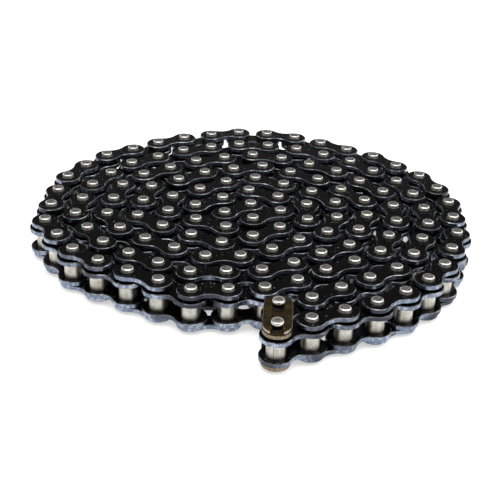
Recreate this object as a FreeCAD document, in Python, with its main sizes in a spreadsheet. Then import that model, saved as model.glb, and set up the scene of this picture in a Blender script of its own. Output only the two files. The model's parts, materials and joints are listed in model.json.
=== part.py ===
import FreeCAD, Part
import os
from math import acos, atan2, cos, degrees, hypot, pi, radians, sin

import Sketcher
from FreeCAD import Placement, Rotation, Vector

# Drive chain, 3/8 inch pitch, with bushes and no rollers, closed by a joining link with a spring clip
# and lying on its side in the coil that it is sold in. Millimetres, +Z up. The origin is under the
# middle of the coil, on the surface that the lower pin ends stand on.

SIZES = (
    # One link
    ("pitch", 9.525),
    ("inside_width", 4.8),
    ("inner_plate_height", 8.75),
    ("inner_plate_waist", 5.4),
    ("inner_plate_thickness", 1.3),
    ("outer_plate_height", 7.5),
    ("outer_plate_waist", 4.7),
    ("outer_plate_thickness", 1.3),
    ("plate_chamfer", 0.15),
    ("bush_diameter", 5.08),
    ("bush_seam", 0.12),
    ("pin_diameter", 3.5),
    ("pin_clearance", 0.05),
    ("pin_stand", 1.0),
    ("pin_chamfer", 0.22),
    # The inner links lie low on the pins, so the side play is seen above them
    ("play_below", 0.2),
    ("play_above", 0.6),
    # Joining link
    ("joining_plate_height", 7.5),
    ("joining_plate_thickness", 1.3),
    ("clip_thickness", 0.8),
    ("clip_height", 7.3),
    ("clip_slot", 3.2),
    ("clip_mouth", 2.3),
    ("clip_flare", 3.6),
    ("groove_diameter", 2.8),
    ("groove_play", 0.06),
    ("pin_head", 1.2),
    # Room between the plates of neighbouring turns
    ("turn_gap", 0.07),
    ("rear_turn_gap", 0.356),
    ("free_end_gap", 0.346),
)

# The coil
PIN_COUNT = 140
USUAL_FRONT_PINS = 79
FOLD_HEADINGS = (157.0, 218.0, 156.0)
MOVING_FRONT = 8
MOVING_REAR = 7
SLACK_FROM_PIN = 12
SLACK_TO_PIN = 32
WIDEST_SLACK = 1.5
JOINING_HEADING = 88.0
END_STRETCH = 2.82
REAR_LEAD = 100.0
SEAM_START = 228.0
SEAM_STEP = 137.5

document = FreeCAD.newDocument("DriveChain")
sheet = document.addObject("Spreadsheet::Sheet", "Sizes")
size = {}
for row, (alias, value) in enumerate(SIZES, start=1):
    sheet.set("A%d" % row, alias)
    sheet.set("B%d" % row, str(value))
    sheet.setAlias("B%d" % row, alias)
    size[alias] = value
document.recompute()


# Levels above the surface, from the lower pin ends up
outer_low = size["pin_stand"]
inner_low = outer_low + size["outer_plate_thickness"] + size["play_below"]
inner_high = inner_low + size["inner_plate_thickness"] + size["inside_width"]
outer_high = inner_high + size["inner_plate_thickness"] + size["play_above"]
BUSH_LENGTH = "(Sizes.inside_width + 2 * Sizes.inner_plate_thickness)"
PIN_LENGTH = ("(2 * Sizes.pin_stand + 2 * Sizes.outer_plate_thickness + Sizes.play_below"
              " + Sizes.play_above + " + BUSH_LENGTH + ")")
COVER_TOP = ("(Sizes.pin_stand + Sizes.outer_plate_thickness + Sizes.play_below + Sizes.play_above"
             " + Sizes.joining_plate_thickness + " + BUSH_LENGTH + ")")
cover_top = outer_high + size["joining_plate_thickness"]


# Helpers for sketches and features

def origin_plane(body, role):
    return [feature for feature in body.Origin.OriginFeatures if feature.Role == role][0]


def new_body(name):
    body = document.addObject("PartDesign::Body", name)
    body.Label = name
    return body


def new_sketch(body, name, role="XY_Plane"):
    sketch = body.newObject("Sketcher::SketchObject", name)
    sketch.AttachmentSupport = [(origin_plane(body, role), "")]
    sketch.MapMode = "FlatFace"
    return sketch


def bind(sketch, kind, references, value, expression):
    index = sketch.addConstraint(Sketcher.Constraint(kind, *references, value))
    sketch.setExpression("Constraints[%d]" % index, expression)


def arc(centre_x, centre_y, radius, start, end):
    circle = Part.Circle(Vector(centre_x, centre_y, 0), Vector(0, 0, 1), radius)
    return Part.ArcOfCircle(circle, start, end)


def pad(body, sketch, name, length):
    feature = body.newObject("PartDesign::Pad", name)
    feature.Profile = sketch
    feature.setExpression("Length", length)
    sketch.Visibility = False
    document.recompute()
    return feature


def pocket_through(body, sketch, name):
    before = body.Shape.Volume
    feature = body.newObject("PartDesign::Pocket", name)
    feature.Profile = sketch
    feature.Type = "ThroughAll"
    feature.Reversed = True
    sketch.Visibility = False
    document.recompute()
    if body.Shape.Volume >= before:
        raise ValueError(name + " cuts nothing")
    return feature


def chamfer_edges(body, base, name, expression, wanted):
    names = ["Edge%d" % (number + 1) for number, edge in enumerate(base.Shape.Edges) if wanted(edge)]
    feature = body.newObject("PartDesign::Chamfer", name)
    feature.Base = (base, names)
    feature.setExpression("Size", expression)
    document.recompute()
    return feature


def centre_end_arcs(sketch):
    """The two end arcs lie on the centre line, one pitch apart."""
    half = size["pitch"] / 2
    sketch.addConstraint(Sketcher.Constraint("PointOnObject", 0, 3, -1))
    sketch.addConstraint(Sketcher.Constraint("PointOnObject", 1, 3, -1))
    bind(sketch, "DistanceX", (-1, 1, 0, 3), half, "Sizes.pitch / 2")
    bind(sketch, "DistanceX", (1, 3, -1, 1), half, "Sizes.pitch / 2")


def add_holes(sketch, first, radius, expression):
    """Two round holes on the centres of the end arcs."""
    half = size["pitch"] / 2
    for offset, side in ((0, 1), (1, -1)):
        circle = Part.Circle(Vector(side * half, 0, 0), Vector(0, 0, 1), radius)
        sketch.addGeometry(circle, False)
        sketch.addConstraint(Sketcher.Constraint("Coincident", first + offset, 3, offset, 3))
        bind(sketch, "Radius", (first + offset,), radius, expression)


def is_rim(edge, thickness, hole_radius):
    """Edges of a plate's outline on its two faces, and not those of its holes."""
    box = edge.BoundBox
    if box.ZMax - box.ZMin > 0.01:
        return False
    if isinstance(edge.Curve, Part.Circle) and abs(edge.Curve.Radius - hole_radius) < 0.001:
        return False
    return min(abs(box.ZMin), abs(box.ZMin - thickness)) < 0.001


# Waisted link plate: two round ends, joined by a concave arc on each side

def waisted_plate(name, hole_radius, hole_expression):
    height = size[name + "_height"]
    waist = size[name + "_waist"]
    thickness = size[name + "_thickness"]
    half = size["pitch"] / 2
    end = height / 2
    flank = (half ** 2 + (waist / 2) ** 2 - end ** 2) / (height - waist)
    centre = waist / 2 + flank
    lean = atan2(centre, half)
    body = new_body(name)
    sketch = new_sketch(body, name + "_outline")
    sketch.addGeometry([
        arc(half, 0, end, lean - pi, pi - lean),
        arc(-half, 0, end, lean, 2 * pi - lean),
        arc(0, centre, flank, pi + lean, 2 * pi - lean),
        arc(0, -centre, flank, lean, pi - lean),
    ], False)
    for joint in ((0, 2, 2, 2), (1, 1, 2, 1), (1, 2, 3, 2), (0, 1, 3, 1)):
        sketch.addConstraint(Sketcher.Constraint("Tangent", *joint))
    centre_end_arcs(sketch)
    tall = "Sizes.%s_height" % name
    narrow = "Sizes.%s_waist" % name
    bend = "((Sizes.pitch ^ 2 + %s ^ 2 - %s ^ 2) / 4 / (%s - %s))" % (narrow, tall, tall, narrow)
    for index in (0, 1):
        bind(sketch, "Radius", (index,), end, tall + " / 2")
    for index in (2, 3):
        bind(sketch, "Radius", (index,), flank, bend)
    add_holes(sketch, 4, hole_radius, hole_expression)
    plate = pad(body, sketch, name + "_blank", "Sizes.%s_thickness" % name)
    chamfer_edges(body, plate, name + "_edge", "Sizes.plate_chamfer",
                  lambda edge: is_rim(edge, thickness, hole_radius))
    return body


# Straight-sided outline, for the joining plates, the clip and the clip's slot

def oblong_sketch(body, name, radius, expression):
    half = size["pitch"] / 2
    sketch = new_sketch(body, name)
    sketch.addGeometry([
        arc(half, 0, radius, -pi / 2, pi / 2),
        arc(-half, 0, radius, pi / 2, 3 * pi / 2),
        Part.LineSegment(Vector(half, radius, 0), Vector(-half, radius, 0)),
        Part.LineSegment(Vector(-half, -radius, 0), Vector(half, -radius, 0)),
    ], False)
    for joint in ((0, 2, 2, 1), (2, 2, 1, 1), (1, 2, 3, 1), (3, 2, 0, 1)):
        sketch.addConstraint(Sketcher.Constraint("Tangent", *joint))
    centre_end_arcs(sketch)
    bind(sketch, "Radius", (0,), radius, expression)
    return sketch


def joining_plate(name):
    body = new_body(name)
    outline = oblong_sketch(body, name + "_outline", size["joining_plate_height"] / 2,
                            "Sizes.joining_plate_height / 2")
    hole = size["pin_diameter"] / 2
    add_holes(outline, 4, hole, "Sizes.pin_diameter / 2")
    plate = pad(body, outline, name + "_blank", "Sizes.joining_plate_thickness")
    chamfer_edges(body, plate, name + "_edge", "Sizes.plate_chamfer",
                  lambda edge: is_rim(edge, size["joining_plate_thickness"], hole))
    return body


# Spring clip: a flat spring with a closed end, and two prongs that snap round the other pin's groove

def spring_clip(name):
    body = new_body(name)
    outline = oblong_sketch(body, name + "_outline", size["clip_height"] / 2, "Sizes.clip_height / 2")
    blank = pad(body, outline, name + "_blank", "Sizes.clip_thickness")
    chamfer_edges(body, blank, name + "_edge", "Sizes.plate_chamfer / 2",
                  lambda edge: is_rim(edge, size["clip_thickness"], 0))
    slot = oblong_sketch(body, name + "_slot", size["clip_slot"] / 2, "Sizes.clip_slot / 2")
    pocket_through(body, slot, name + "_slot_cut")
    near = size["pitch"] / 2
    far = near + size["clip_height"] / 2
    throat = size["clip_mouth"] / 2
    lips = size["clip_flare"] / 2
    mouth = new_sketch(body, name + "_mouth")
    corners = [Vector(near, -throat, 0), Vector(far, -lips, 0), Vector(far, lips, 0), Vector(near, throat, 0)]
    for index in range(4):
        mouth.addGeometry(Part.LineSegment(corners[index], corners[(index + 1) % 4]), False)
    for index in range(4):
        mouth.addConstraint(Sketcher.Constraint("Coincident", index, 2, (index + 1) % 4, 1))
    mouth.addConstraint(Sketcher.Constraint("Symmetric", 0, 1, 2, 2, -1))
    mouth.addConstraint(Sketcher.Constraint("Symmetric", 0, 2, 2, 1, -1))
    bind(mouth, "DistanceX", (-1, 1, 0, 1), near, "Sizes.pitch / 2")
    bind(mouth, "DistanceX", (-1, 1, 0, 2), far, "(Sizes.pitch + Sizes.clip_height) / 2")
    bind(mouth, "DistanceY", (3, 2, 3, 1), size["clip_mouth"], "Sizes.clip_mouth")
    bind(mouth, "DistanceY", (1, 1, 1, 2), size["clip_flare"], "Sizes.clip_flare")
    pocket_through(body, mouth, name + "_mouth_cut")
    return body


# Bush: strip steel curled into a tube, with the hairline seam where its edges meet

def curled_bush(name):
    outside = size["bush_diameter"] / 2
    inside = size["pin_diameter"] / 2 + size["pin_clearance"]
    body = new_body(name)
    ring = new_sketch(body, name + "_ring")
    for index, (radius, expression) in enumerate((
            (outside, "Sizes.bush_diameter / 2"),
            (inside, "Sizes.pin_diameter / 2 + Sizes.pin_clearance"))):
        ring.addGeometry(Part.Circle(Vector(0, 0, 0), Vector(0, 0, 1), radius), False)
        ring.addConstraint(Sketcher.Constraint("Coincident", index, 3, -1, 1))
        bind(ring, "Radius", (index,), radius, expression)
    pad(body, ring, name + "_tube", BUSH_LENGTH)
    seam = new_sketch(body, name + "_seam")
    half = size["bush_seam"] / 2
    beyond = outside * 2
    corners = [Vector(0, -half, 0), Vector(beyond, -half, 0), Vector(beyond, half, 0), Vector(0, half, 0)]
    for index in range(4):
        seam.addGeometry(Part.LineSegment(corners[index], corners[(index + 1) % 4]), False)
    for index in range(4):
        seam.addConstraint(Sketcher.Constraint("Coincident", index, 2, (index + 1) % 4, 1))
    for index in (0, 2):
        seam.addConstraint(Sketcher.Constraint("Horizontal", index))
    seam.addConstraint(Sketcher.Constraint("Vertical", 3))
    seam.addConstraint(Sketcher.Constraint("PointOnObject", 0, 1, -2))
    seam.addConstraint(Sketcher.Constraint("Symmetric", 1, 1, 1, 2, -1))
    bind(seam, "DistanceX", (0, 1, 0, 2), beyond, "Sizes.bush_diameter")
    bind(seam, "DistanceY", (1, 1, 1, 2), half * 2, "Sizes.bush_seam")
    pocket_through(body, seam, name + "_seam_cut")
    return body


# Pin: a plain round pin with chamfered ends. The joining link's pins are longer and grooved

def plain_pin(name, length):
    body = new_body(name)
    section = new_sketch(body, name + "_section")
    radius = size["pin_diameter"] / 2
    section.addGeometry(Part.Circle(Vector(0, 0, 0), Vector(0, 0, 1), radius), False)
    section.addConstraint(Sketcher.Constraint("Coincident", 0, 3, -1, 1))
    bind(section, "Radius", (0,), radius, "Sizes.pin_diameter / 2")
    rod = pad(body, section, name + "_rod", length)
    chamfer_edges(body, rod, name + "_ends", "Sizes.pin_chamfer",
                  lambda edge: edge.BoundBox.ZMax - edge.BoundBox.ZMin < 0.01)
    return body


def grooved_pin(name):
    body = plain_pin(name, COVER_TOP + " + Sizes.clip_thickness + Sizes.groove_play + Sizes.pin_head")
    sketch = new_sketch(body, name + "_groove_section", "XZ_Plane")
    root = size["groove_diameter"] / 2
    rim = size["pin_diameter"]
    top = cover_top + size["clip_thickness"] + size["groove_play"]
    corners = [Vector(root, cover_top, 0), Vector(rim, cover_top, 0), Vector(rim, top, 0),
               Vector(root, top, 0)]
    for index in range(4):
        sketch.addGeometry(Part.LineSegment(corners[index], corners[(index + 1) % 4]), False)
    for index in range(4):
        sketch.addConstraint(Sketcher.Constraint("Coincident", index, 2, (index + 1) % 4, 1))
    for index in (0, 2):
        sketch.addConstraint(Sketcher.Constraint("Horizontal", index))
    for index in (1, 3):
        sketch.addConstraint(Sketcher.Constraint("Vertical", index))
    bind(sketch, "DistanceX", (-1, 1, 0, 1), root, "Sizes.groove_diameter / 2")
    bind(sketch, "DistanceX", (-1, 1, 0, 2), rim, "Sizes.pin_diameter")
    bind(sketch, "DistanceY", (-1, 1, 0, 1), cover_top, COVER_TOP)
    bind(sketch, "DistanceY", (1, 1, 1, 2), top - cover_top, "Sizes.clip_thickness + Sizes.groove_play")
    before = body.Shape.Volume
    groove = body.newObject("PartDesign::Groove", name + "_groove")
    groove.Profile = sketch
    groove.ReferenceAxis = (sketch, ["V_Axis"])
    groove.Angle = 360
    sketch.Visibility = False
    document.recompute()
    if body.Shape.Volume >= before:
        raise ValueError(name + " has no groove")
    return body


inner_plate = waisted_plate("inner_plate", size["bush_diameter"] / 2, "Sizes.bush_diameter / 2")
outer_plate = waisted_plate("outer_plate", size["pin_diameter"] / 2, "Sizes.pin_diameter / 2")
pin = plain_pin("pin", PIN_LENGTH)
bush = curled_bush("bush")
pin_plate = joining_plate("joining_plate")
joining_pin = grooved_pin("joining_pin")
clip = spring_clip("clip")


# The coil's plan. The chain is folded in two at its heart, and both runs are wound round the fold
# together, each new pin swung inwards until its plates meet the turn inside. The front run lies
# outside the rear run. Both are laid from the heart outwards, one pitch at a time.

pitch = size["pitch"]
front_room = size["inner_plate_height"] + size["turn_gap"]
rear_room = size["inner_plate_height"] + size["rear_turn_gap"]
free_room = size["inner_plate_height"] + size["free_end_gap"]
WIDEST_SWING = radians(35)
SHARPEST_BEND = radians(122)
SWING_STEP = radians(3)
HALVINGS = 24


def distance(one, other):
    return hypot(one[0] - other[0], one[1] - other[1])


def one_pitch_on(start, heading):
    return (start[0] + pitch * cos(heading), start[1] + pitch * sin(heading))


def heading_between(start, end):
    return atan2(end[1] - start[1], end[0] - start[0])


def distance_to_link(point, link):
    (start_x, start_y), (end_x, end_y) = link
    along_x = end_x - start_x
    along_y = end_y - start_y
    share = ((point[0] - start_x) * along_x + (point[1] - start_y) * along_y) / pitch ** 2
    share = max(0.0, min(1.0, share))
    return hypot(point[0] - start_x - share * along_x, point[1] - start_y - share * along_y)


def is_clear(point, pins, links, room):
    if any(distance(other, point) < room for other in pins):
        return False
    return all(distance_to_link(point, link) >= room for link in links)


def swing_in(run, others, links, room):
    """Swing the next link clockwise, from clear of the coil until its far pin meets it."""
    last = run[-1]
    onward = heading_between(run[-2], last)
    pins = [other for other in run[:-1] + others if distance(other, last) < pitch + 2 * room]
    near = [link for link in links if distance(link[0], last) < 2 * pitch + 2 * room]
    heading = onward + WIDEST_SWING
    while not is_clear(one_pitch_on(last, heading), pins, near, room):
        heading += SWING_STEP
    lowest = onward - SHARPEST_BEND
    while heading > lowest and is_clear(one_pitch_on(last, heading - SWING_STEP), pins, near, room):
        heading -= SWING_STEP
    clear = heading
    blocked = heading - SWING_STEP
    for _ in range(HALVINGS):
        middle = (clear + blocked) / 2
        if is_clear(one_pitch_on(last, middle), pins, near, room):
            clear = middle
        else:
            blocked = middle
    return one_pitch_on(last, clear)


def near_turn(angle, reference):
    while angle < reference - pi:
        angle += 2 * pi
    while angle > reference + pi:
        angle -= 2 * pi
    return angle


def slack_share(pins_from_end):
    """The outermost turn stands off most halfway along its slack."""
    share = (pins_from_end - SLACK_FROM_PIN) / (SLACK_TO_PIN - SLACK_FROM_PIN)
    return sin(pi * share) ** 2 if 0 < share < 1 else 0.0


def wind(front_count, slack):
    """Pins of the front run, up to its free end, and of the whole rear run, from the heart out."""
    fold = [(0.0, 0.0)]
    for heading in FOLD_HEADINGS:
        fold.append(one_pitch_on(fold[-1], radians(heading)))
    front = [fold[1], fold[0]]
    rear = fold[1:]
    rear_count = PIN_COUNT - front_count
    eye = ((fold[0][0] + fold[2][0]) / 2, fold[0][1])

    def clockwise(point):
        return -heading_between(eye, point)

    front_turn = clockwise(front[-1])
    rear_turn = clockwise(rear[-1])
    while rear_turn < front_turn:
        rear_turn += 2 * pi
    goal = front_count - MOVING_FRONT + 1
    while len(front) < goal or len(rear) < rear_count:
        behind = rear_turn - front_turn < radians(REAR_LEAD) or len(front) >= goal
        if len(rear) < rear_count and behind:
            links = []
            if rear_count - len(rear) <= MOVING_REAR + 1:
                links = [(front[place], front[place + 1]) for place in range(1, len(front) - 1)
                         if (front_count - place) % 2 == 1]
            rear.append(swing_in(rear, front[1:], links, rear_room))
            rear_turn = near_turn(clockwise(rear[-1]), rear_turn)
        else:
            from_end = front_count - len(front)
            room = front_room + slack * slack_share(from_end)
            if from_end <= SLACK_FROM_PIN - 1:
                room = max(room, free_room)
            front.append(swing_in(front, rear, [], room))
            front_turn = near_turn(clockwise(front[-1]), front_turn)
    return front[1:], rear


def free_end_gap_left(front, rear):
    """What the front run's links 7, 3 and 2 have to span, once the others are laid."""
    rear_headings = [heading_between(rear[-number], rear[-number - 1])
                     for number in range(1, MOVING_REAR + 1)]
    first, third, fifth, seventh = rear_headings[0::2]
    between = (third + fifth) / 2
    joining = radians(JOINING_HEADING)
    gap_x = front[-1][0] - rear[-1][0] + pitch * cos(joining)
    gap_y = front[-1][1] - rear[-1][1] + pitch * sin(joining)
    for heading in (first, third, between, fifth, seventh):
        gap_x -= pitch * cos(heading)
        gap_y -= pitch * sin(heading)
    onward = (first + seventh) / 2
    along = gap_x * cos(onward) + gap_y * sin(onward)
    return (first, third, between, fifth, seventh), (gap_x, gap_y), along


def lay_free_end(front, rear):
    """Lay the front run's last links. Four stay parallel to a rear link, so that each pair can swing
    as a parallelogram, and link 7 and the pair 2 and 3 make up the rest of the way."""
    (first, third, between, fifth, seventh), gap, _ = free_end_gap_left(front, rear)
    span = hypot(*gap) / pitch
    toward = atan2(gap[1], gap[0])
    one = toward + acos((span ** 2 - 3) / (2 * span))
    two = toward - acos((span ** 2 + 3) / (4 * span))
    end = list(front)
    for heading in (seventh, one, fifth, between, third, two, two, first):
        end.append(one_pitch_on(end[-1], heading + pi))
    return end


def close_chain():
    """Choose how many pins lie in the front run, and how slack it lies at the back of the coil, so
    that the joining link spans exactly one pitch."""
    front_count = USUAL_FRONT_PINS
    while free_end_gap_left(*wind(front_count, 0.0))[2] > END_STRETCH * pitch:
        front_count += 1
    while free_end_gap_left(*wind(front_count - 1, 0.0))[2] < END_STRETCH * pitch:
        front_count -= 1
    tight = 0.0
    loose = WIDEST_SLACK * pitch
    for _ in range(HALVINGS):
        slack = (tight + loose) / 2
        front, rear = wind(front_count, slack)
        if hypot(*free_end_gap_left(front, rear)[1]) < END_STRETCH * pitch:
            tight = slack
        else:
            loose = slack
    front, rear = wind(front_count, tight)
    return lay_free_end(front, rear), rear, tight


front_run, rear_run, slack = close_chain()
pins_in_order = list(reversed(front_run)) + rear_run
half_plate = size["inner_plate_height"] / 2
left = min(point[0] for point in pins_in_order) - half_plate
right = max(point[0] for point in pins_in_order) + half_plate
front_side = min(point[1] for point in pins_in_order) - half_plate
back_side = max(point[1] for point in pins_in_order) + half_plate
middle = ((left + right) / 2, (front_side + back_side) / 2)
pins_in_order = [(x - middle[0], y - middle[1]) for x, y in pins_in_order]


# Pieces put together into nodes

def placed(body, centre, level, heading):
    copy = body.Shape.copy()
    turned = Rotation(Vector(0, 0, 1), degrees(heading))
    copy.Placement = Placement(Vector(centre[0], centre[1], level), turned)
    return copy


def on_link(body, number, level):
    start = pins_in_order[number]
    end = pins_in_order[(number + 1) % PIN_COUNT]
    centre = ((start[0] + end[0]) / 2, (start[1] + end[1]) / 2)
    return placed(body, centre, level, heading_between(start, end))


def bushes_of(number):
    """Both bushes of an inner link. Their seams face any way round, as they are pressed in."""
    heading = heading_between(pins_in_order[number], pins_in_order[number + 1])
    turned = [heading + radians(SEAM_START + SEAM_STEP * place) for place in (number, number + 1)]
    return [placed(bush, pins_in_order[number + place], inner_low, turned[place]) for place in (0, 1)]


def pins_of(number):
    return [placed(pin, pins_in_order[place % PIN_COUNT], 0, 0) for place in (number, number + 1)]


nodes = {}


def add(node, shapes):
    nodes.setdefault(node, []).extend(shapes)


def add_inner_link(prefix, number):
    add(prefix + "upper_inner_plate", [on_link(inner_plate, number, inner_high)])
    add(prefix + "lower_inner_plate", [on_link(inner_plate, number, inner_low)])
    add(prefix + "bushes", bushes_of(number))


def add_outer_link(prefix, number):
    add(prefix + "upper_outer_plate", [on_link(outer_plate, number, outer_high)])
    add(prefix + "lower_outer_plate", [on_link(outer_plate, number, outer_low)])
    add(prefix + "pins", pins_of(number))


# Links that swing free of the coil, numbered from the joining link
LAST_LINK = PIN_COUNT - 1
for place in range(1, MOVING_FRONT + 1):
    build = add_inner_link if place % 2 else add_outer_link
    build("front_%d_" % place, place - 1)
for place in range(1, MOVING_REAR + 1):
    build = add_inner_link if place % 2 else add_outer_link
    build("rear_%d_" % place, LAST_LINK - place)

# The rest of the coil. The first link behind the free front end has its own plates
ANCHOR = MOVING_FRONT
for number in range(MOVING_FRONT, LAST_LINK - MOVING_REAR):
    if number % 2:
        add("coil_upper_outer_plates", [on_link(outer_plate, number, outer_high)])
        add("coil_lower_outer_plates", [on_link(outer_plate, number, outer_low)])
        add("coil_pins", pins_of(number))
        continue
    prefix = "front_9_" if number == ANCHOR else "coil_"
    suffix = "" if number == ANCHOR else "s"
    add(prefix + "upper_inner_plate" + suffix, [on_link(inner_plate, number, inner_high)])
    add(prefix + "lower_inner_plate" + suffix, [on_link(inner_plate, number, inner_low)])
    add("coil_bushes", bushes_of(number))

# Joining link, whose clip has its closed end at the rear pin
joining = LAST_LINK
add("joining_pin_plate", [on_link(pin_plate, joining, outer_low)])
add("joining_cover_plate", [on_link(pin_plate, joining, outer_high)])
add("joining_pins", [placed(joining_pin, pins_in_order[place], 0, 0) for place in (joining, 0)])
add("joining_spring_clip", [on_link(clip, joining, cover_top)])


# Checks and export
for thing in document.Objects:
    if "Invalid" in thing.State or "Error" in thing.State:
        raise ValueError(thing.Name + " failed")

os.makedirs("parts", exist_ok=True)
for node, shapes in nodes.items():
    feature = document.addObject("Part::Feature", node)
    feature.Label = node
    feature.Shape = Part.makeCompound(shapes)
    if feature.Shape.isNull() or not feature.Shape.isValid():
        raise ValueError(node + " is not valid")
document.recompute()
for node in nodes:
    document.getObject(node).Shape.exportStep("parts/" + node + ".step")

joining_span = distance(pins_in_order[0], pins_in_order[-1])
print("nodes", len(nodes), "solids", sum(len(shapes) for shapes in nodes.values()))
print("front run", len(front_run), "rear run", len(rear_run), "slack %.3f" % slack)
print("joining span %.6f of %.3f" % (joining_span, pitch))
joining_pin_top = cover_top + size["clip_thickness"] + size["groove_play"] + size["pin_head"]
print("coil %.2f by %.2f by %.2f" % (right - left, back_side - front_side, joining_pin_top))
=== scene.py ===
import json
from math import pi, radians

import bpy
from mathutils import Matrix, Vector


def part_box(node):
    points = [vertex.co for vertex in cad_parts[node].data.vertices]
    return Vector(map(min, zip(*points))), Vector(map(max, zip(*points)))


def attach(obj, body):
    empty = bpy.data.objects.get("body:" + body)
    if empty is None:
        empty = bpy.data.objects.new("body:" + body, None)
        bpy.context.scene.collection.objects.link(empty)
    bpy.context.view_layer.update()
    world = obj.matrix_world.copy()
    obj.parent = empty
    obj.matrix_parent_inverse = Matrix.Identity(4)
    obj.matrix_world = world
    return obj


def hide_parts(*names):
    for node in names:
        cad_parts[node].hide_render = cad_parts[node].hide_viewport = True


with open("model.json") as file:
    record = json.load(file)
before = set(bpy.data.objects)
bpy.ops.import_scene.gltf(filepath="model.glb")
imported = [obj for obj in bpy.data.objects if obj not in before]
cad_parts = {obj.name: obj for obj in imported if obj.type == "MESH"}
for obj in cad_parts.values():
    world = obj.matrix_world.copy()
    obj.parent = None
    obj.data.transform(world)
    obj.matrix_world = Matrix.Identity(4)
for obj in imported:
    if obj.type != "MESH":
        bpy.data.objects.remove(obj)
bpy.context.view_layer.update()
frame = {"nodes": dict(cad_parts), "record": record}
chain = frame["nodes"]


# Link plates
# Punched from strip steel and blackened all over. The flat faces stay dull black and hold a little
# dust in the oil. The sheared edges keep a blue-grey sheen, and their rims are rubbed bright.

MM = 0.001
BLACK_FACE = (0.001, 0.001, 0.0012, 1)
BLACK_MOTTLE = (0.0035, 0.0033, 0.0035, 1)
DUST = (0.40, 0.39, 0.37, 1)
DARK_EDGE = (0.04, 0.042, 0.055, 1)
SHEARED_EDGE = (0.15, 0.185, 0.25, 1)
SHEARED_STREAK = (0.36, 0.40, 0.48, 1)
DULL_RIM = (0.075, 0.08, 0.09, 1)
RUBBED_RIM = (0.44, 0.45, 0.49, 1)
# Size of the marks, number of finer ones laid over them, and how they are drawn out
GRAIN = (0.35 * MM, 6)
DUST_SPECKS = (0.5 * MM, 2)
STREAKS = (0.9 * MM, 4, (1, 1, 0.35))
PLATE_BY_PLATE = (13 * MM, 1)
RUBS = (2.4 * MM, 4)
# Level of the marks at which the second colour begins, and at which it is full
GRAIN_SHOWS = (0.4, 0.7)
DUST_SHOWS = (0.715, 0.74)
STREAKS_SHOW = (0.45, 0.62)
LIGHT_PLATES_SHOW = (0.36, 0.56)
RUBS_SHOW = (0.46, 0.72)
# Uprightness at which a rim turns into a flat face, and into a wall
FACE_STARTS = (0.8, 0.95)
WALL_STARTS = (0.5, 0.2)
EDGE_METAL, FACE_METAL = 0.9, 0.0
EDGE_ROUGHNESS, FACE_ROUGHNESS = 0.26, 0.22
OIL_SHINE = 0.32
GRAIN_DEPTH = 0.02 * MM
GRAIN_STRENGTH = 0.5


def start_material(name):
    material = bpy.data.materials.new(name)
    material.use_nodes = True
    return material, material.node_tree.nodes, material.node_tree.links


def add_node(nodes, kind, **settings):
    node = nodes.new("ShaderNode" + kind)
    for key, value in settings.items():
        setattr(node, key, value)
    return node


def noise(nodes, links, size, detail, stretch=(1, 1, 1)):
    """Noise with marks of about that size in metres, squeezed along the axes of stretch."""
    place = add_node(nodes, "TexCoord")
    squeeze = add_node(nodes, "Mapping")
    squeeze.inputs["Scale"].default_value = stretch
    texture = add_node(nodes, "TexNoise")
    texture.inputs["Scale"].default_value = 1 / size
    texture.inputs["Detail"].default_value = detail
    links.new(place.outputs["Object"], squeeze.inputs["Vector"])
    links.new(squeeze.outputs["Vector"], texture.inputs["Vector"])
    return texture.outputs["Fac"]


def ramp(nodes, links, value, low, high):
    """0 at low and past it, 1 at high and past it, smooth between."""
    band = add_node(nodes, "MapRange", interpolation_type="SMOOTHSTEP")
    band.inputs["From Min"].default_value = low
    band.inputs["From Max"].default_value = high
    links.new(value, band.inputs["Value"])
    return band.outputs["Result"]


def blend_colours(nodes, links, share, first, second):
    """first where share is 0, second where it is 1. Each is a colour or a socket."""
    mix = add_node(nodes, "Mix", data_type="RGBA")
    links.new(share, mix.inputs["Factor"])
    for socket, colour in ((mix.inputs[6], first), (mix.inputs[7], second)):
        if isinstance(colour, tuple):
            socket.default_value = colour
        else:
            links.new(colour, socket)
    return mix.outputs[2]


def blend_values(nodes, links, share, first, second):
    """first where share is 0, second where it is 1. Each is a number or a socket."""
    mix = add_node(nodes, "Mix", data_type="FLOAT")
    links.new(share, mix.inputs["Factor"])
    for socket, value in ((mix.inputs[2], first), (mix.inputs[3], second)):
        if isinstance(value, (int, float)):
            socket.default_value = value
        else:
            links.new(value, socket)
    return mix.outputs[0]


def uprightness(nodes, links, normal="True Normal"):
    """1 where the surface faces straight up or down, 0 where it is a vertical wall."""
    surface = add_node(nodes, "NewGeometry")
    parts = add_node(nodes, "SeparateXYZ")
    size = add_node(nodes, "Math", operation="ABSOLUTE")
    links.new(surface.outputs[normal], parts.inputs["Vector"])
    links.new(parts.outputs["Z"], size.inputs[0])
    return size.outputs["Value"]


def bump(nodes, links, height, depth, strength, shader):
    """Relief of that depth in metres, from 0 to 1 in height."""
    relief = add_node(nodes, "Bump")
    relief.inputs["Distance"].default_value = depth
    relief.inputs["Strength"].default_value = strength
    links.new(height, relief.inputs["Height"])
    links.new(relief.outputs["Normal"], shader.inputs["Normal"])


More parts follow.
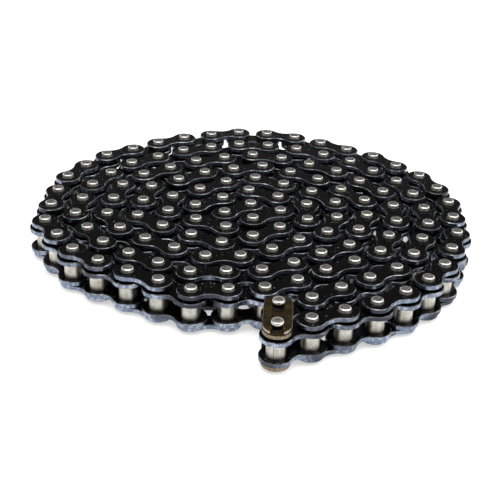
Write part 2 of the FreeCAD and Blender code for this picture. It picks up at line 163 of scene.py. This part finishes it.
def blackened_plate():
    material, nodes, links = start_material("blackened_plate")
    shader = nodes["Principled BSDF"]
    up = uprightness(nodes, links)
    is_face = ramp(nodes, links, up, *FACE_STARTS)
    is_wall = ramp(nodes, links, up, *WALL_STARTS)
    grain = noise(nodes, links, *GRAIN)
    mottled = ramp(nodes, links, grain, *GRAIN_SHOWS)
    face = blend_colours(nodes, links, mottled, BLACK_FACE, BLACK_MOTTLE)
    dusty = ramp(nodes, links, noise(nodes, links, *DUST_SPECKS), *DUST_SHOWS)
    face = blend_colours(nodes, links, dusty, face, DUST)
    streaked = ramp(nodes, links, noise(nodes, links, *STREAKS), *STREAKS_SHOW)
    wall = blend_colours(nodes, links, streaked, SHEARED_EDGE, SHEARED_STREAK)
    lighter = ramp(nodes, links, noise(nodes, links, *PLATE_BY_PLATE), *LIGHT_PLATES_SHOW)
    wall = blend_colours(nodes, links, lighter, DARK_EDGE, wall)
    rubbed = ramp(nodes, links, noise(nodes, links, *RUBS), *RUBS_SHOW)
    rim = blend_colours(nodes, links, rubbed, DULL_RIM, RUBBED_RIM)
    edge = blend_colours(nodes, links, is_wall, rim, wall)
    colour = blend_colours(nodes, links, is_face, edge, face)
    metal = blend_values(nodes, links, is_face, EDGE_METAL, FACE_METAL)
    roughness = blend_values(nodes, links, is_face, EDGE_ROUGHNESS, FACE_ROUGHNESS)
    links.new(colour, shader.inputs["Base Color"])
    links.new(metal, shader.inputs["Metallic"])
    links.new(roughness, shader.inputs["Roughness"])
    shader.inputs["Specular IOR Level"].default_value = OIL_SHINE
    bump(nodes, links, grain, GRAIN_DEPTH, GRAIN_STRENGTH, shader)
    return material


def finish_nodes(endings, material):
    """Give the CAD nodes whose names end so their finish."""
    for name, node in chain.items():
        if name.endswith(endings):
            node.data.materials.clear()
            node.data.materials.append(material)


finish_nodes(("inner_plate", "inner_plates", "outer_plate", "outer_plates"), blackened_plate())


# Bushes
# Curled from bright strip and case hardened. They turn satin in the tumbler, with fine lines round
# them, and shade is painted onto their foot, where they meet the lower plate.

BUSH_STEEL = (0.66, 0.64, 0.58, 1)
BUSH_SHADE = (0.46, 0.44, 0.385, 1)
# Colour of the painted shade at the foot of each bush
BUSH_PAINTED_SHADE = (0.12, 0.11, 0.095, 1)
BUSH_CLOUDS = (1.6 * MM, 4)
BUSH_CLOUDS_SHOW = (0.35, 0.7)
TUMBLED_LINES = (0.25 * MM, 2, (0.15, 0.15, 1))
LINE_DEPTH = 0.01 * MM
LINE_STRENGTH = 0.6
BUSH_ROUGHNESS = 0.38
# Share of the bush's height at which its painted shade ends, and below which it is full
BUSH_PAINTED_SHADE_ENDS, BUSH_PAINTED_SHADE_FULL = 0.34, 0.12
LINE_STRETCH = 0.8


def by_height(nodes, links, low, high):
    """0 at the height low and past it, 1 at high and past it, smooth between."""
    place = add_node(nodes, "TexCoord")
    parts = add_node(nodes, "SeparateXYZ")
    links.new(place.outputs["Object"], parts.inputs["Vector"])
    return ramp(nodes, links, parts.outputs["Z"], low, high)


def both(nodes, links, first, second):
    """1 only where both shares are 1."""
    product = add_node(nodes, "Math", operation="MULTIPLY")
    links.new(first, product.inputs[0])
    links.new(second, product.inputs[1])
    return product.outputs["Value"]


def stretch_lights(nodes, links, is_face, shader):
    """Fine lines round the side stretch what it mirrors up and down along it."""
    upward = add_node(nodes, "CombineXYZ")
    upward.inputs["Z"].default_value = 1
    links.new(upward.outputs["Vector"], shader.inputs["Tangent"])
    links.new(blend_values(nodes, links, is_face, LINE_STRETCH, 0.0), shader.inputs["Anisotropic"])


def satin_bush():
    material, nodes, links = start_material("satin_bush")
    shader = nodes["Principled BSDF"]
    low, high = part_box("coil_bushes")
    clouded = ramp(nodes, links, noise(nodes, links, *BUSH_CLOUDS), *BUSH_CLOUDS_SHOW)
    steel = blend_colours(nodes, links, clouded, BUSH_SHADE, BUSH_STEEL)
    span = high.z - low.z
    # Painted shade: the bush darkens towards its foot, where the lower plate shades it
    painted_shade = by_height(nodes, links, low.z + BUSH_PAINTED_SHADE_ENDS * span,
                       low.z + BUSH_PAINTED_SHADE_FULL * span)
    colour = blend_colours(nodes, links, painted_shade, steel, BUSH_PAINTED_SHADE)
    links.new(colour, shader.inputs["Base Color"])
    shader.inputs["Metallic"].default_value = 1
    shader.inputs["Roughness"].default_value = BUSH_ROUGHNESS
    is_face = ramp(nodes, links, uprightness(nodes, links), *FACE_STARTS)
    stretch_lights(nodes, links, is_face, shader)
    lines = noise(nodes, links, *TUMBLED_LINES)
    bump(nodes, links, lines, LINE_DEPTH, LINE_STRENGTH, shader)
    return material


finish_nodes("bushes", satin_bush())


# Pins
# Turned from round bar and pressed into the outer plates. A riveting punch has spread their ends
# into low heads over a narrower neck, with dull grey faces and burnished rims. Grease sits round
# the necks.

PIN_SIDES = 24
# Corners of the top faces that are nearer to each other than this are on one pin
SAME_PIN = 4 * MM
TOP_FACE_DEPTH = 0.01 * MM
SMOOTH_UP_TO = radians(50)
# Radius and height of each ring in millimetres, from the outer face of the outer plate outwards
RIVETED_END = [(1.75, 0), (1.25, 0.03), (1.23, 0.42), (1.34, 0.56), (1.50, 0.64),
               (1.60, 0.71), (1.60, 0.76), (1.52, 0.84), (1.34, 0.97), (1.25, 1.0)]
PIN_FACE = (0.10, 0.098, 0.094, 1)
PIN_FACE_LIGHT = (0.22, 0.216, 0.205, 1)
PIN_SIDE = (0.86, 0.84, 0.79, 1)
PIN_SHADE = (0.72, 0.69, 0.62, 1)
PIN_GREASE = (0.10, 0.08, 0.055, 1)
PUNCH_MARKS = (0.8 * MM, 3)
PUNCH_MARKS_SHOW = (0.35, 0.65)
SIDE_SHADE_SHOWS = (0.4, 0.6)
PUNCH_DEPTH = 0.015 * MM
PUNCH_STRENGTH = 0.5
GREASE_PATCHES = (1.5 * MM, 2)
GREASE_SHOWS = (0.48, 0.62)
GREASE_RISES = 0.35 * MM
# Uprightness at which the burnished rim turns into the dull face
PIN_FACE_STARTS = (0.93, 0.985)
RIM_ROUGHNESS, PIN_WALL_ROUGHNESS, PIN_FACE_ROUGHNESS = 0.24, 0.36, 0.5
PIN_SIDE_METAL, PIN_FACE_METAL = 1.0, 0.45


def turned(name, profile):
    """A round bar turned to (radius, height) pairs, from its lower face to its upper one."""
    radius, height = profile[0]
    bpy.ops.object.select_all(action="DESELECT")
    bpy.ops.mesh.primitive_circle_add(vertices=PIN_SIDES, radius=radius, fill_type="NGON",
                                      location=(0, 0, height))
    bar = bpy.context.object
    bar.name = name
    bpy.ops.object.transform_apply(location=True, rotation=False, scale=False)
    bpy.ops.object.mode_set(mode="EDIT")
    bpy.ops.mesh.select_all(action="SELECT")
    for next_radius, next_height in profile[1:]:
        step = {"value": (0, 0, next_height - height)}
        widening = next_radius / radius
        bpy.ops.mesh.extrude_region_move(TRANSFORM_OT_translate=step)
        bpy.ops.transform.resize(value=(widening, widening, 1),
                                 center_override=(0, 0, next_height))
        radius, height = next_radius, next_height
    bpy.ops.mesh.select_all(action="SELECT")
    bpy.ops.mesh.normals_make_consistent(inside=False)
    bpy.ops.object.mode_set(mode="OBJECT")
    bpy.ops.object.shade_smooth_by_angle(angle=SMOOTH_UP_TO)
    return bar


def pin_places(name):
    """The axis of each pin in a CAD node, from the corners of its top faces."""
    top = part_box(name)[1].z
    corners = {(round(v.co.x, 6), round(v.co.y, 6)) for v in chain[name].data.vertices
               if v.co.z > top - TOP_FACE_DEPTH}
    rings = []
    for corner in map(Vector, sorted(corners)):
        near = [ring for ring in rings if (ring[0] - corner).length < SAME_PIN]
        if near:
            near[0].append(corner)
        else:
            rings.append([corner])
    return [sum(ring, Vector((0, 0))) / len(ring) for ring in rings]


def set_pins(name, pattern, material):
    """One piece that replaces a CAD node of pins: a copy of the pattern in each pin's place."""
    copies = []
    for place in pin_places(name):
        copy = pattern.copy()
        copy.data = pattern.data.copy()
        copy.location = (place.x, place.y, 0)
        bpy.context.collection.objects.link(copy)
        copies.append(copy)
    bpy.ops.object.select_all(action="DESELECT")
    for copy in copies:
        copy.select_set(True)
    piece = copies[0]
    bpy.context.view_layer.objects.active = piece
    if len(copies) > 1:
        bpy.ops.object.join()
    bpy.ops.object.transform_apply(location=True, rotation=False, scale=False)
    piece.name = "riveted_" + name
    piece.data.materials.clear()
    piece.data.materials.append(material)
    bodies = frame["record"]["behaviour"]["bodies"]
    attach(piece, next(body for body in bodies if name in bodies[body]))
    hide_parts(name)


def burnished_pin(name):
    """Bright turned sides, a dull punched face, and patches of grease round the neck."""
    material, nodes, links = start_material(name)
    shader = nodes["Principled BSDF"]
    up = uprightness(nodes, links, "Normal")
    is_face = ramp(nodes, links, up, *PIN_FACE_STARTS)
    is_wall = ramp(nodes, links, up, *WALL_STARTS)
    marks = noise(nodes, links, *PUNCH_MARKS)
    face_marks = ramp(nodes, links, marks, *PUNCH_MARKS_SHOW)
    face = blend_colours(nodes, links, face_marks, PIN_FACE, PIN_FACE_LIGHT)
    side_shade = ramp(nodes, links, marks, *SIDE_SHADE_SHOWS)
    side = blend_colours(nodes, links, side_shade, PIN_SIDE, PIN_SHADE)
    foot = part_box("coil_upper_outer_plates")[1].z
    corner = by_height(nodes, links, foot + GREASE_RISES, foot)
    patches = ramp(nodes, links, noise(nodes, links, *GREASE_PATCHES), *GREASE_SHOWS)
    side = blend_colours(nodes, links, both(nodes, links, corner, patches), side, PIN_GREASE)
    colour = blend_colours(nodes, links, is_face, side, face)
    rim = blend_values(nodes, links, is_wall, RIM_ROUGHNESS, PIN_WALL_ROUGHNESS)
    roughness = blend_values(nodes, links, is_face, rim, PIN_FACE_ROUGHNESS)
    metal = blend_values(nodes, links, is_face, PIN_SIDE_METAL, PIN_FACE_METAL)
    links.new(colour, shader.inputs["Base Color"])
    links.new(roughness, shader.inputs["Roughness"])
    links.new(metal, shader.inputs["Metallic"])
    off_wall = ramp(nodes, links, up, *reversed(WALL_STARTS))
    stretch_lights(nodes, links, off_wall, shader)
    bump(nodes, links, marks, PUNCH_DEPTH, PUNCH_STRENGTH, shader)
    return material, nodes, links


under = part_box("coil_lower_outer_plates")[0].z
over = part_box("coil_upper_outer_plates")[1].z
lower_end = [(radius * MM, under - height * MM) for radius, height in reversed(RIVETED_END)]
upper_end = [(radius * MM, over + height * MM) for radius, height in RIVETED_END]
pin = turned("riveted_pin", lower_end + upper_end)
burnished = burnished_pin("burnished_pin")[0]
for name in sorted(chain):
    if name.endswith("_pins") and name != "joining_pins":
        set_pins(name, pin, burnished)


# Joining link
# Its pin plate and cover plate are steel tempered to a bronze colour, and so is the spring clip
# that snaps into the grooves of its two pins. Old grease blackens the seam below the clip, and
# shade is painted into the grooves under the pins' heads.

PLATE_BRONZE = (0.060, 0.042, 0.018, 1)
PLATE_CLOUD = (0.110, 0.078, 0.034, 1)
PLATE_EDGE = (0.27, 0.225, 0.165, 1)
CLIP_BRONZE = (0.075, 0.055, 0.020, 1)
CLIP_CLOUD = (0.20, 0.140, 0.050, 1)
CLIP_EDGE = (0.44, 0.385, 0.30, 1)
# Colour of the old grease on the seam and of the painted shade in the pins' grooves
OLD_GREASE_AND_SHADE = (0.012, 0.010, 0.009, 1)
TEMPER_CLOUDS = (2.2 * MM, 4)
TEMPER_CLOUDS_SHOW = (0.35, 0.65)
TEMPER_GRAIN = (0.3 * MM, 3)
FACE_GRAIN_SHOWS = (0.5, 0.72)
EDGE_GRAIN_SHOWS = (0.35, 0.6)
TEMPER_DEPTH = 0.012 * MM
TEMPER_STRENGTH = 0.6
PLATE_ROUGHNESS = 0.4
CLIP_ROUGHNESS = 0.36
# Half the height of the dark seam, the width over which the seam's grease and the grooves' painted
# shade fade out, and how far above the clip the painted shade still darkens the groove
SEAM_HEIGHT = 0.16 * MM
GREASE_AND_SHADE_FADES = 0.03 * MM
HEAD_SHADE = 0.30 * MM
# Radius and height of each ring in millimetres above the cover plate: the clip's groove, the head
GROOVED_END = [(1.75, -0.02), (1.36, 0.0), (1.34, 0.90), (1.42, 1.02), (1.58, 1.18),
               (1.66, 1.36), (1.67, 1.60), (1.62, 1.80), (1.52, 1.95), (1.38, 2.06)]
# Uprightness at which an edge turns into a face: the plates' bevels are as dark as their faces
PLATE_BEVEL = (0.3, 0.6)
CLIP_BEVEL = (0.8, 0.95)
# Uprightness below which the seam's grease shows
SIDE_STARTS = (0.95, 0.9)


def grease_and_shade_band(nodes, links, bottom, top):
    """1 between two heights and 0 outside them."""
    above = by_height(nodes, links, bottom - GREASE_AND_SHADE_FADES, bottom)
    below = by_height(nodes, links, top + GREASE_AND_SHADE_FADES, top)
    return both(nodes, links, above, below)


def tempered_bronze(name, face_colour, cloud_colour, edge_colour, bevel, roughness):
    material, nodes, links = start_material(name)
    shader = nodes["Principled BSDF"]
    up = uprightness(nodes, links)
    is_face = ramp(nodes, links, up, *bevel)
    is_side = ramp(nodes, links, up, *SIDE_STARTS)
    clouded = ramp(nodes, links, noise(nodes, links, *TEMPER_CLOUDS), *TEMPER_CLOUDS_SHOW)
    grain = noise(nodes, links, *TEMPER_GRAIN)
    face_grain = ramp(nodes, links, grain, *FACE_GRAIN_SHOWS)
    edge_grain = ramp(nodes, links, grain, *EDGE_GRAIN_SHOWS)
    face = blend_colours(nodes, links, clouded, face_colour, cloud_colour)
    face = blend_colours(nodes, links, face_grain, face, cloud_colour)
    edge = blend_colours(nodes, links, edge_grain, cloud_colour, edge_colour)
    bronze = blend_colours(nodes, links, is_face, edge, face)
    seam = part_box("joining_spring_clip")[0].z
    line = grease_and_shade_band(nodes, links, seam - SEAM_HEIGHT, seam + SEAM_HEIGHT)
    line = both(nodes, links, line, is_side)
    colour = blend_colours(nodes, links, line, bronze, OLD_GREASE_AND_SHADE)
    links.new(colour, shader.inputs["Base Color"])
    shader.inputs["Metallic"].default_value = 1
    shader.inputs["Roughness"].default_value = roughness
    bump(nodes, links, grain, TEMPER_DEPTH, TEMPER_STRENGTH, shader)
    return material


def groove_shaded_pin():
    """The burnished pin, with shade painted into the groove behind the clip."""
    material, nodes, links = burnished_pin("groove_shaded_pin")
    shader = nodes["Principled BSDF"]
    low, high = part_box("joining_spring_clip")
    # Painted shade: the groove is darkened from the clip's foot to a little above its top
    groove = grease_and_shade_band(nodes, links, low.z, high.z + HEAD_SHADE)
    unshaded_colour = shader.inputs["Base Color"].links[0].from_socket
    colour = blend_colours(nodes, links, groove, unshaded_colour, OLD_GREASE_AND_SHADE)
    links.new(colour, shader.inputs["Base Color"])
    return material


tempered_plate = tempered_bronze("tempered_plate", PLATE_BRONZE, PLATE_CLOUD, PLATE_EDGE,
                                 PLATE_BEVEL, PLATE_ROUGHNESS)
tempered_clip = tempered_bronze("tempered_clip", CLIP_BRONZE, CLIP_CLOUD, CLIP_EDGE,
                                CLIP_BEVEL, CLIP_ROUGHNESS)
finish_nodes(("pin_plate", "cover_plate"), tempered_plate)
finish_nodes("spring_clip", tempered_clip)
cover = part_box("joining_cover_plate")[1].z
grooved_end = [(radius * MM, cover + height * MM) for radius, height in GROOVED_END]
grooved_pin = turned("grooved_pin", lower_end + grooved_end)
set_pins("joining_pins", grooved_pin, groove_shaded_pin())
for pattern in (pin, grooved_pin):
    bpy.data.objects.remove(pattern)


# Table
# A plain white sheet that carries the coil's shadow, with nothing behind it but the white room.
# What is seen of it directly or in gloss glows a little, so that it reads as white.

TABLE_SIDE = 6.0
SHEET_WHITE = (0.86, 0.86, 0.87, 1)
SHEET_GLOW = 0.55


def seen_directly(nodes, links):
    """1 for rays from the eye, from gloss and through glass, and 0 for the light on things."""
    path = add_node(nodes, "LightPath")
    total = path.outputs["Is Camera Ray"]
    for kind in ("Is Glossy Ray", "Is Transmission Ray"):
        either = add_node(nodes, "Math", operation="MAXIMUM")
        links.new(total, either.inputs[0])
        links.new(path.outputs[kind], either.inputs[1])
        total = either.outputs["Value"]
    return total


bpy.ops.object.select_all(action="DESELECT")
bpy.ops.mesh.primitive_plane_add(size=TABLE_SIDE, location=(0, 0, 0))
table = bpy.context.object
table.name = "white_table"
sheet, nodes, links = start_material("white_sheet")
nodes.remove(nodes["Principled BSDF"])
paper = add_node(nodes, "BsdfDiffuse")
paper.inputs["Color"].default_value = SHEET_WHITE
glow = add_node(nodes, "Emission")
strength = add_node(nodes, "Math", operation="MULTIPLY")
strength.inputs[1].default_value = SHEET_GLOW
links.new(seen_directly(nodes, links), strength.inputs[0])
links.new(strength.outputs["Value"], glow.inputs["Strength"])
total = add_node(nodes, "AddShader")
links.new(paper.outputs["BSDF"], total.inputs[0])
links.new(glow.outputs["Emission"], total.inputs[1])
links.new(total.outputs["Shader"], nodes["Material Output"].inputs["Surface"])
table.data.materials.append(sheet)


# Studio
# One wide soft lamp above and a little in front of the coil, and a lit screen at each side. The
# wall behind is dim, which the black plates mirror. The room is pale at the horizon, but for its
# dim front.

PALE_HORIZON = 0.9
DIM_FRONT = 0.35
DIM_WALL = 0.045
CEILING = 0.6
LEFT_SCREEN = 0.7
RIGHT_SCREEN = 1.6
# Each as a part of the direction's length: how far front or sideways, and how high, it points
FRONT_STARTS = (0.85, 0.97)
SCREENS_START = (0.5, 0.68)
WALL_STARTS_ABOVE = (0.2, 0.34)
CEILING_STARTS = (0.72, 0.85)
LAMP_AT = Vector((0.0, -0.25, 0.95))
LAMP_SIZE = (1.3, 0.9)
LAMP_POWER = 7.0


def opposite(nodes, links, value):
    reversal = add_node(nodes, "Math", operation="MULTIPLY")
    reversal.inputs[1].default_value = -1
    links.new(value, reversal.inputs[0])
    return reversal.outputs["Value"]


world = bpy.data.worlds.new("studio_room")
world.use_nodes = True
bpy.context.scene.world = world
nodes = world.node_tree.nodes
links = world.node_tree.links
direction = add_node(nodes, "TexCoord")
parts = add_node(nodes, "SeparateXYZ")
links.new(direction.outputs["Generated"], parts.inputs["Vector"])
to_right, to_back, height = (parts.outputs[axis] for axis in "XYZ")
on_left = ramp(nodes, links, opposite(nodes, links, to_right), *SCREENS_START)
on_right = ramp(nodes, links, to_right, *SCREENS_START)
wall = blend_values(nodes, links, on_left, DIM_WALL, LEFT_SCREEN)
wall = blend_values(nodes, links, on_right, wall, RIGHT_SCREEN)
in_front = ramp(nodes, links, opposite(nodes, links, to_back), *FRONT_STARTS)
horizon = blend_values(nodes, links, in_front, PALE_HORIZON, DIM_FRONT)
on_wall = ramp(nodes, links, height, *WALL_STARTS_ABOVE)
wall_level = blend_values(nodes, links, on_wall, horizon, wall)
on_ceiling = ramp(nodes, links, height, *CEILING_STARTS)
level = blend_values(nodes, links, on_ceiling, wall_level, CEILING)
links.new(level, nodes["Background"].inputs["Strength"])
nodes["Background"].inputs["Color"].default_value = (1, 1, 1, 1)

bpy.ops.object.light_add(type="AREA", location=LAMP_AT)
lamp = bpy.context.object
lamp.name = "soft_lamp"
lamp.data.shape = "RECTANGLE"
lamp.data.size, lamp.data.size_y = LAMP_SIZE
lamp.data.energy = LAMP_POWER
lamp.rotation_euler = (-LAMP_AT).to_track_quat("-Z", "Y").to_euler()


# Camera
# Low in front of the coil, tilted down, and turned a little about its own line of sight. Its
# focus is in pixels of the picture.

CAMERA_AT = Vector((-0.29, -268.78, 153.43)) * MM
CAMERA_TILT = radians(29.79)
CAMERA_ROLL = radians(2.166)
PICTURE_SIDE = 500
FOCUS_IN_PIXELS = 1044.5
SENSOR_WIDTH = 36
NEAREST_SEEN = 0.01

bpy.ops.object.camera_add()
camera = bpy.context.object
camera.data.sensor_width = SENSOR_WIDTH
camera.data.lens = SENSOR_WIDTH * FOCUS_IN_PIXELS / PICTURE_SIDE
camera.data.clip_start = NEAREST_SEEN
camera.matrix_world = (Matrix.Translation(CAMERA_AT)
                       @ Matrix.Rotation(pi / 2 - CAMERA_TILT, 4, "X")
                       @ Matrix.Rotation(CAMERA_ROLL, 4, "Z"))
bpy.context.scene.camera = camera
bpy.context.scene.view_settings.view_transform = "Standard"
